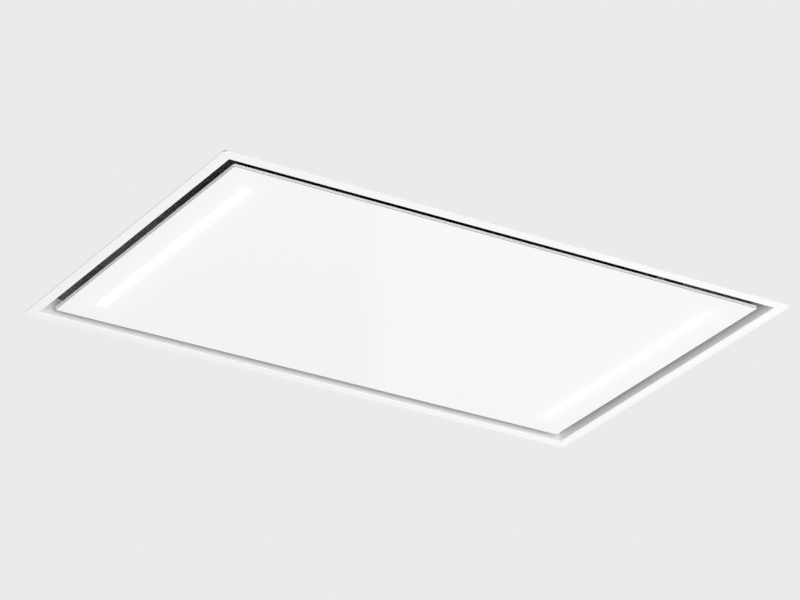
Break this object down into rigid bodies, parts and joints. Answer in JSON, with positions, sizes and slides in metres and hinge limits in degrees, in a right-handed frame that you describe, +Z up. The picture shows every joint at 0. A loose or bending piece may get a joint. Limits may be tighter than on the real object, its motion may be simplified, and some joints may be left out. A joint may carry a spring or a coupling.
{
  "type": "ceiling range hood",
  "caption": "Flush ceiling range hood: white glass panel with light strips, suction slot all round, fan and round outlet above.",
  "frame": {"origin": "middle of the trim frame, in the plane of the flange's upper face, which meets the ceiling", "axes": "+X along the long side, +Y towards the panel's hinges, +Z up into the ceiling"},
  "size_m": [0.9, 0.58, 0.3227],
  "materials": {
    "white_paint": "satin powder coat",
    "white_glass": "glossy, back-painted white",
    "tape": "matte",
    "diffuser": "matte opal",
    "light_channel": "satin",
    "led_board": "satin",
    "galvanised": "galvanised",
    "black_paint": "satin",
    "filter_black": "black anodised",
    "strike_steel": "zinc plated",
    "magnet": "nickel plated",
    "zinc": "zinc plated",
    "scroll_plastic": "moulded",
    "wheel_plastic": "moulded",
    "motor_metal": "cast",
    "bearing_steel": "ground",
    "lamination": "stamped",
    "rubber": "matte",
    "spigot_plastic": "moulded",
    "board_green": "solder mask",
    "white_plastic": "moulded",
    "black_plastic": "moulded"
  },
  "bodies": {
    "hood": {"trim_frame": "white_paint", "trim_screws": "zinc", "housing": "galvanised", "filter_deck": "galvanised", "deck_screws": "zinc", "wiring_channels": "galvanised", "filter_ledges": "galvanised", "filter_magnets": "magnet", "hinge_brackets": "black_paint", "hinge_pins": "zinc", "catch_brackets": "black_paint", "catch_magnets": "magnet", "inlet_ring": "scroll_plastic", "scroll_lower": "scroll_plastic", "scroll_upper": "scroll_plastic", "motor_can": "motor_metal", "motor_cap": "motor_metal", "motor_bearings": "bearing_steel", "motor_stator": "lamination", "motor_plate": "galvanised", "rubber_mounts": "rubber", "motor_box": "galvanised", "motor_box_cover": "galvanised", "outlet_duct": "galvanised", "outlet_spigot": "spigot_plastic", "damper_axle": "zinc", "control_box": "galvanised", "control_cover": "galvanised", "circuit_board": "board_green", "terminal_block": "white_plastic", "light_driver": "white_plastic", "cable_fittings": "black_plastic", "suspension_brackets": "galvanised", "top_screws": "zinc"},
    "panel": {"glass_panel": "white_glass", "bonding_tape": "tape", "panel_tray": "white_paint", "strike_plates": "strike_steel", "light_diffuser_left": "diffuser", "light_diffuser_right": "diffuser", "light_channel_left": "light_channel", "light_channel_right": "light_channel", "led_board_left": "led_board", "led_board_right": "led_board", "hinge_arms": "galvanised", "panel_nuts": "zinc"},
    "filter_left": {"filter_frame_left": "filter_black", "filter_mesh_left": "filter_black", "filter_handle_left": "filter_black"},
    "filter_right": {"filter_frame_right": "filter_black", "filter_mesh_right": "filter_black", "filter_handle_right": "filter_black"},
    "wheel": {"impeller_ring": "wheel_plastic", "impeller_blades": "wheel_plastic", "impeller_plate": "wheel_plastic", "impeller_nut": "zinc", "motor_shaft": "bearing_steel", "motor_rotor": "lamination"},
    "flap_left": {"damper_flap_left": "spigot_plastic"},
    "flap_right": {"damper_flap_right": "spigot_plastic"}
  },
  "joints": [
    {"name": "panel_hinge", "type": "hinge", "parent": "hood", "child": "panel", "pos_m": [0, 0.236, 0.022], "axis": [1, 0, 0], "range_deg": [0, 90]},
    {"name": "filter_left_tilt", "type": "hinge", "parent": "hood", "child": "filter_left", "pos_m": [-0.164, 0.165, 0.0907], "axis": [1, 0, 0], "range_deg": [0, 10]},
    {"name": "filter_right_tilt", "type": "hinge", "parent": "hood", "child": "filter_right", "pos_m": [0.164, 0.165, 0.0907], "axis": [1, 0, 0], "range_deg": [0, 10]},
    {"name": "wheel_spin", "type": "hinge", "parent": "hood", "child": "wheel", "pos_m": [0, 0, 0.2], "axis": [0, 0, 1], "continuous": true},
    {"name": "flap_left_swing", "type": "hinge", "parent": "hood", "child": "flap_left", "pos_m": [-0.217, 0.1115, 0.22], "axis": [0, 0, -1], "range_deg": [0, 75], "stiffness_Nm_per_rad": 0.01, "springref_deg": -20.05},
    {"name": "flap_right_swing", "type": "hinge", "parent": "hood", "child": "flap_right", "pos_m": [-0.217, 0.1115, 0.22], "axis": [0, 0, 1], "range_deg": [0, 75], "stiffness_Nm_per_rad": 0.01, "springref_deg": -20.05}
  ]
}
